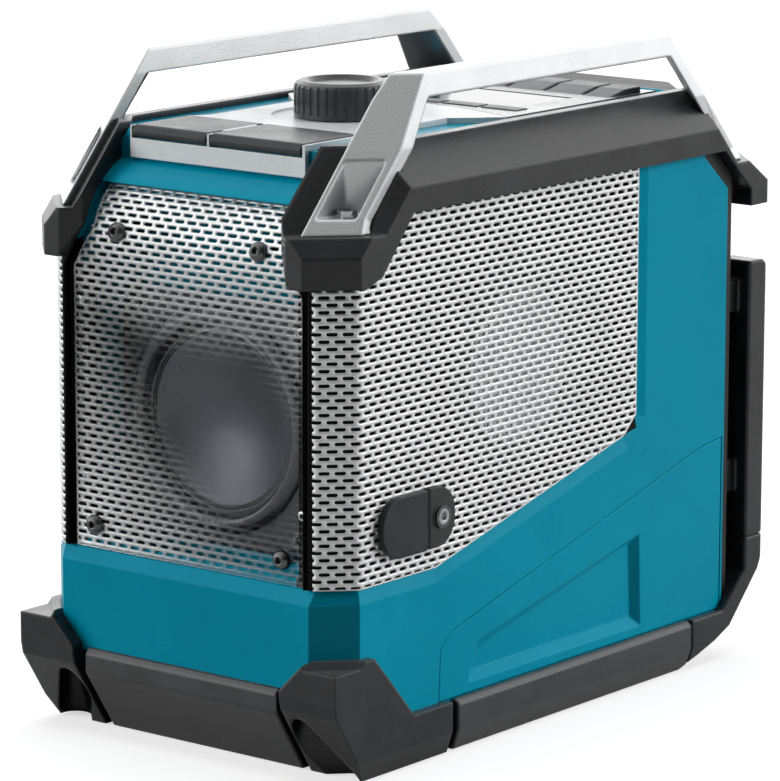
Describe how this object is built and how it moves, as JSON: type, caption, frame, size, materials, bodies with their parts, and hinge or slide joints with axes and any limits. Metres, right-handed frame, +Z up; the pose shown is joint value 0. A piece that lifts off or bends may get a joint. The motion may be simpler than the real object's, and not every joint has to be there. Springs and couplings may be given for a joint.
{
  "type": "jobsite radio",
  "caption": "Jobsite radio with a front woofer, side speakers, cast carrying handles, rubber bumpers, top keys and knob, and a rear battery bay with a hinged door.",
  "frame": {"origin": "centre of the footprint at the level of the rubber base", "axes": "+Z up; the woofer grille faces -Y; the side with the DC inlet is +X; the battery door is at +Y"},
  "size_m": [0.164, 0.294, 0.2706],
  "materials": {
    "teal_plastic": "satin moulded plastic",
    "side_plastic": "satin moulded plastic",
    "rear_plastic": "fine grained plastic",
    "tray_plastic": "moulded plastic",
    "bumper_rubber": "moulded elastomer",
    "rail_rubber": "moulded elastomer",
    "cast_aluminium": "die cast, satin painted silver",
    "zinc_screw": "zinc plated",
    "black_screw": "black oxide",
    "grille_sheet": "punched sheet, satin silver",
    "speaker_steel": "black coated steel",
    "surround_rubber": "moulded roll",
    "cone_grey": "dark polypropylene",
    "cone_bright": "bright coated cone",
    "silver_plastic": "silver painted plastic",
    "bezel_plastic": "grained plastic",
    "window_glass": "smoked window",
    "display_plastic": "display module",
    "board_laminate": "circuit board",
    "key_plastic": "grained key tops",
    "knob_plastic": "ribbed, satin",
    "shaft_steel": "turned",
    "flap_rubber": "soft elastomer",
    "socket_metal": "sheet steel shells",
    "dc_plastic": "moulded",
    "door_plastic": "grained, ribbed",
    "contact_brass": "contact blades"
  },
  "bodies": {
    "radio": {"main_housing": "teal_plastic", "side_cover_right": "side_plastic", "side_cover_left": "side_plastic", "rear_housing": "rear_plastic", "base_tray": "tray_plastic", "front_rail": "rail_rubber", "side_rail_right": "rail_rubber", "side_rail_left": "rail_rubber", "base_corner_front_right": "bumper_rubber", "base_corner_front_left": "bumper_rubber", "base_corner_rear_right": "bumper_rubber", "base_corner_rear_left": "bumper_rubber", "rear_guard_right": "bumper_rubber", "rear_guard_left": "bumper_rubber", "top_bumper_right": "bumper_rubber", "top_bumper_left": "bumper_rubber", "handle_right": "cast_aluminium", "handle_left": "cast_aluminium", "corner_screws": "zinc_screw", "front_grille": "grille_sheet", "side_grille_right": "grille_sheet", "side_grille_left": "grille_sheet", "grille_screws": "black_screw", "woofer_frame": "speaker_steel", "side_speaker_right": "speaker_steel", "side_speaker_left": "speaker_steel", "woofer_surround": "surround_rubber", "top_panel": "silver_plastic", "control_bezel": "bezel_plastic", "display_window": "window_glass", "display_module": "display_plastic", "panel_board": "board_laminate", "main_board": "board_laminate", "knob_encoder": "shaft_steel", "door_hinge_pin": "shaft_steel", "port_sockets": "socket_metal", "dc_base": "dc_plastic", "dc_jack": "dc_plastic", "battery_terminals": "contact_brass"},
    "knob": {"volume_knob": "knob_plastic", "encoder_shaft": "shaft_steel"},
    "usb_cover": {"usb_flap": "flap_rubber"},
    "aux_cover": {"aux_flap": "flap_rubber"},
    "dc_cover": {"dc_flap": "flap_rubber"},
    "door": {"battery_door": "door_plastic"},
    "latch": {"door_latch": "door_plastic"},
    "woofer_diaphragm": {"woofer_cone": "cone_grey"},
    "right_diaphragm": {"side_cone_right": "cone_bright"},
    "left_diaphragm": {"side_cone_left": "cone_bright"},
    "rear_button_1": {"rear_key_1": "key_plastic"},
    "rear_button_2": {"rear_key_2": "key_plastic"},
    "rear_button_3": {"rear_key_3": "key_plastic"},
    "rear_button_4": {"rear_key_4": "key_plastic"},
    "rear_button_5": {"rear_key_5": "key_plastic"},
    "rear_button_6": {"rear_key_6": "key_plastic"},
    "front_button_1": {"front_key_1": "key_plastic"},
    "front_button_2": {"front_key_2": "key_plastic"},
    "front_button_3": {"front_key_3": "key_plastic"},
    "front_button_4": {"front_key_4": "key_plastic"},
    "front_button_5": {"front_key_5": "key_plastic"}
  },
  "joints": [
    {"name": "volume_turn", "type": "hinge", "parent": "radio", "child": "knob", "pos_m": [0, -0.042, 0.25], "axis": [0, 0, 1], "continuous": true},
    {"name": "usb_flap_hinge", "type": "hinge", "parent": "radio", "child": "usb_cover", "pos_m": [-0.0242, -0.0851, 0.2437], "axis": [-1, 0, 0], "range_deg": [0, 120]},
    {"name": "aux_flap_hinge", "type": "hinge", "parent": "radio", "child": "aux_cover", "pos_m": [0.0202, -0.0851, 0.2437], "axis": [-1, 0, 0], "range_deg": [0, 120]},
    {"name": "dc_flap_hinge", "type": "hinge", "parent": "radio", "child": "dc_cover", "pos_m": [0.0803, -0.089, 0.0972], "axis": [0, 0, 1], "range_deg": [0, 140]},
    {"name": "door_hinge", "type": "hinge", "parent": "radio", "child": "door", "pos_m": [-0.058, 0.1314, 0.106], "axis": [0, 0, 1], "range_deg": [0, 110]},
    {"name": "latch_slide", "type": "slide", "parent": "door", "child": "latch", "axis": [0, 0, -1], "range_m": [0, 0.002], "stiffness_N_per_m": 400, "springref_m": -0.001},
    {"name": "woofer_travel", "type": "slide", "parent": "radio", "child": "woofer_diaphragm", "axis": [0, -1, 0], "range_m": [-0.003, 0.003], "stiffness_N_per_m": 1500},
    {"name": "right_speaker_travel", "type": "slide", "parent": "radio", "child": "right_diaphragm", "axis": [1, 0, 0], "range_m": [-0.0015, 0.0015], "stiffness_N_per_m": 2000},
    {"name": "left_speaker_travel", "type": "slide", "parent": "radio", "child": "left_diaphragm", "axis": [-1, 0, 0], "range_m": [-0.0015, 0.0015], "stiffness_N_per_m": 2000},
    {"name": "rear_key_press_1", "type": "slide", "parent": "radio", "child": "rear_button_1", "axis": [0, 0, -1], "range_m": [0, 0.0008], "stiffness_N_per_m": 400, "springref_m": -0.0005},
    {"name": "rear_key_press_2", "type": "slide", "parent": "radio", "child": "rear_button_2", "axis": [0, 0, -1], "range_m": [0, 0.0008], "stiffness_N_per_m": 400, "springref_m": -0.0005},
    {"name": "rear_key_press_3", "type": "slide", "parent": "radio", "child": "rear_button_3", "axis": [0, 0, -1], "range_m": [0, 0.0008], "stiffness_N_per_m": 400, "springref_m": -0.0005},
    {"name": "rear_key_press_4", "type": "slide", "parent": "radio", "child": "rear_button_4", "axis": [0, 0, -1], "range_m": [0, 0.0008], "stiffness_N_per_m": 400, "springref_m": -0.0005},
    {"name": "rear_key_press_5", "type": "slide", "parent": "radio", "child": "rear_button_5", "axis": [0, 0, -1], "range_m": [0, 0.0008], "stiffness_N_per_m": 400, "springref_m": -0.0005},
    {"name": "rear_key_press_6", "type": "slide", "parent": "radio", "child": "rear_button_6", "axis": [0, 0, -1], "range_m": [0, 0.0008], "stiffness_N_per_m": 400, "springref_m": -0.0005},
    {"name": "front_key_press_1", "type": "slide", "parent": "radio", "child": "front_button_1", "axis": [0, 0, -1], "range_m": [0, 0.0008], "stiffness_N_per_m": 300, "springref_m": -0.0005},
    {"name": "front_key_press_2", "type": "slide", "parent": "radio", "child": "front_button_2", "axis": [0, 0, -1], "range_m": [0, 0.0008], "stiffness_N_per_m": 300, "springref_m": -0.0005},
    {"name": "front_key_press_3", "type": "slide", "parent": "radio", "child": "front_button_3", "axis": [0, 0, -1], "range_m": [0, 0.0008], "stiffness_N_per_m": 300, "springref_m": -0.0005},
    {"name": "front_key_press_4", "type": "slide", "parent": "radio", "child": "front_button_4", "axis": [0, 0, -1], "range_m": [0, 0.0008], "stiffness_N_per_m": 300, "springref_m": -0.0005},
    {"name": "front_key_press_5", "type": "slide", "parent": "radio", "child": "front_button_5", "axis": [0, 0, -1], "range_m": [0, 0.0008], "stiffness_N_per_m": 300, "springref_m": -0.0005}
  ]
}
